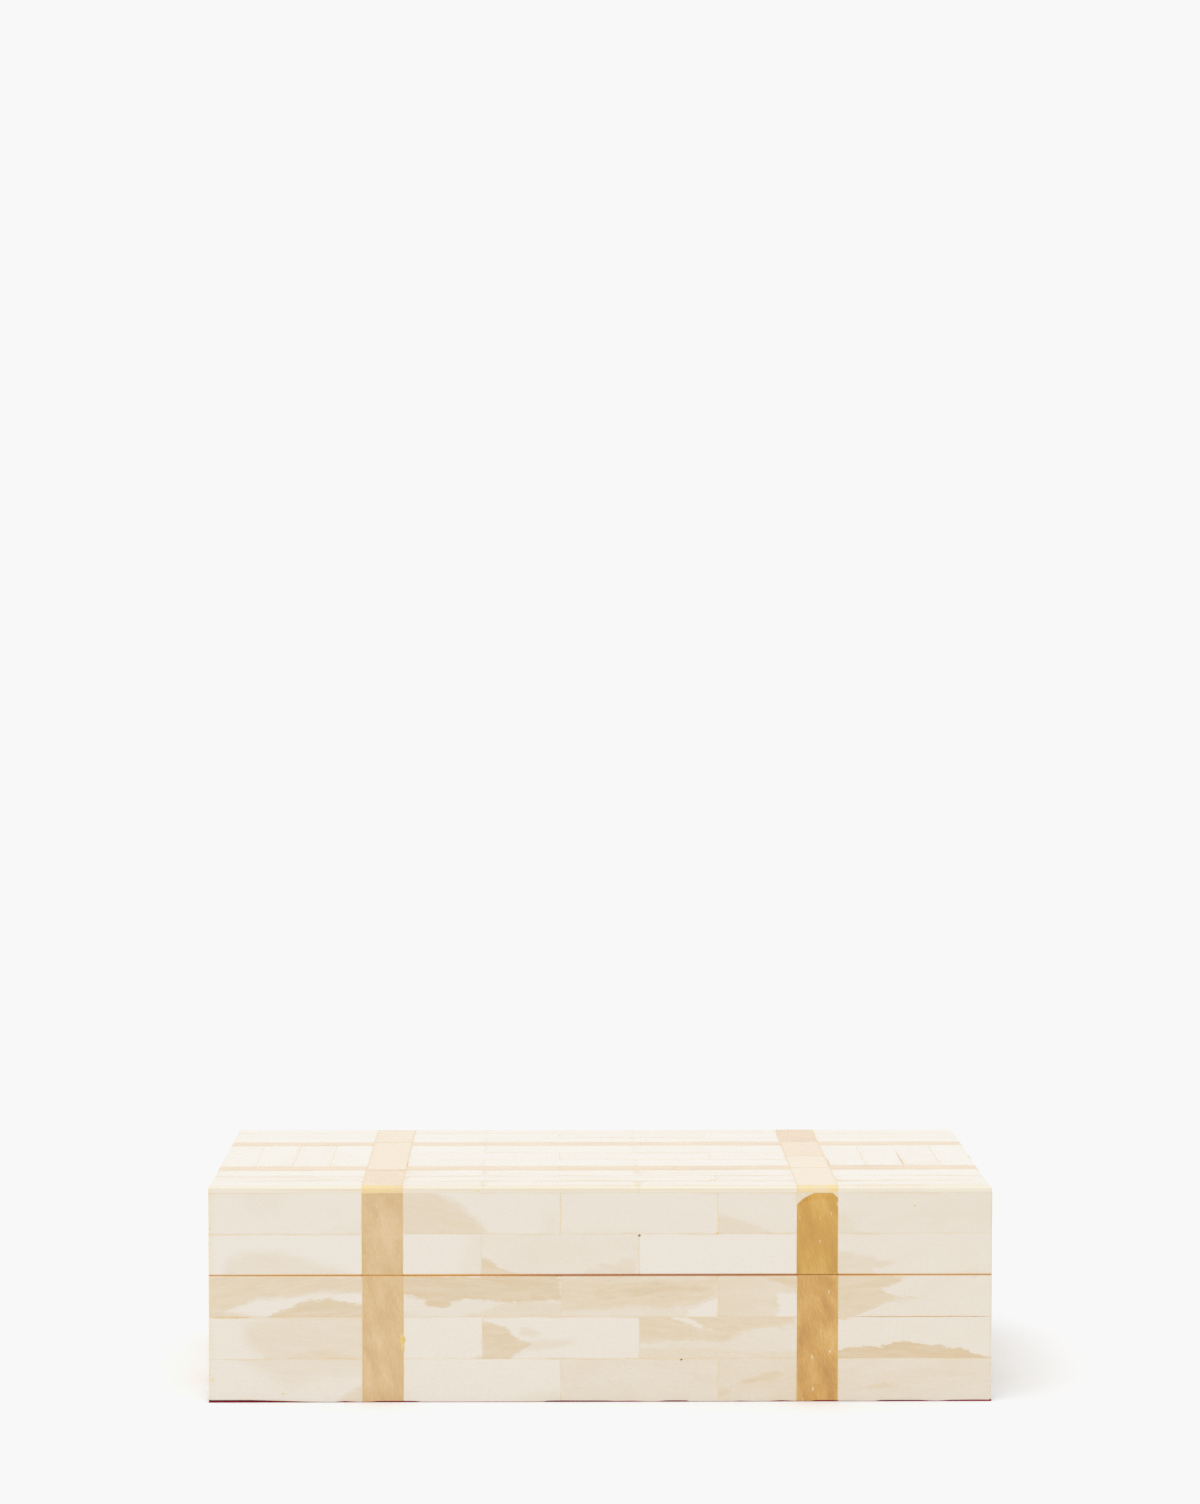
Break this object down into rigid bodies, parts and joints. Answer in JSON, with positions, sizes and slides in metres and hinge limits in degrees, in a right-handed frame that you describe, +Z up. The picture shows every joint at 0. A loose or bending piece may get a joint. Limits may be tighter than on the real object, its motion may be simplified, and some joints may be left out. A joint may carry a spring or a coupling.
{
  "type": "inlaid wooden box",
  "caption": "Rectangular hinged box of wood veneered in pale bone tiles with amber bone bands, velvet inside, felt underneath and brass butt hinges.",
  "frame": {"origin": "centre of the felt underside, where the box rests", "axes": "+X to the right along the length, -Y out of the front face, +Z up"},
  "size_m": [0.28, 0.1312, 0.0778],
  "materials": {
    "bone": "satin, polished bone",
    "amber_bone": "satin, stained bone",
    "resin": "satin",
    "wood": "oiled",
    "velvet": "short pile",
    "felt": "felted",
    "brass": "brushed"
  },
  "bodies": {
    "base": {"felt_pad": "felt", "base_bottom_panel": "wood", "base_front_wall": "wood", "base_back_wall": "wood", "base_left_wall": "wood", "base_right_wall": "wood", "base_floor_lining": "velvet", "base_wall_lining": "velvet", "base_tiles_front_upper": "bone", "base_tiles_front_middle": "bone", "base_tiles_front_lower": "bone", "base_tiles_back_upper": "bone", "base_tiles_back_middle": "bone", "base_tiles_back_lower": "bone", "base_tiles_left": "bone", "base_tiles_right": "bone", "base_band_front_left": "amber_bone", "base_band_front_right": "amber_bone", "base_band_back_left": "amber_bone", "base_band_back_right": "amber_bone", "base_strips_left": "amber_bone", "base_strips_right": "amber_bone", "hinge_left_base_leaf": "brass", "hinge_right_base_leaf": "brass", "hinge_left_pin": "brass", "hinge_right_pin": "brass", "base_hinge_screws": "brass"},
    "lid": {"lid_top_panel": "wood", "lid_front_wall": "wood", "lid_back_wall": "wood", "lid_left_wall": "wood", "lid_right_wall": "wood", "lid_top_lining": "velvet", "lid_wall_lining": "velvet", "lid_tiles_front_upper": "bone", "lid_tiles_front_lower": "bone", "lid_tiles_back_upper": "bone", "lid_tiles_back_lower": "bone", "lid_tiles_left": "bone", "lid_tiles_right": "bone", "lid_tiles_top_front": "bone", "lid_tiles_top_middle": "bone", "lid_tiles_top_back": "bone", "lid_band_front_left": "amber_bone", "lid_band_front_right": "amber_bone", "lid_corner_fill": "resin", "lid_band_back_left": "amber_bone", "lid_band_back_right": "amber_bone", "lid_band_top_left": "amber_bone", "lid_band_top_right": "amber_bone", "lid_strip_top_front": "amber_bone", "lid_strip_top_back": "amber_bone", "lid_strips_left": "amber_bone", "lid_strips_right": "amber_bone", "hinge_left_lid_leaf": "brass", "hinge_right_lid_leaf": "brass", "lid_hinge_screws": "brass"}
  },
  "joints": [
    {"name": "lid_hinge", "type": "hinge", "parent": "base", "child": "lid", "pos_m": [0, 0.0657, 0.04578], "axis": [-1, 0, 0], "range_deg": [0, 100]}
  ]
}
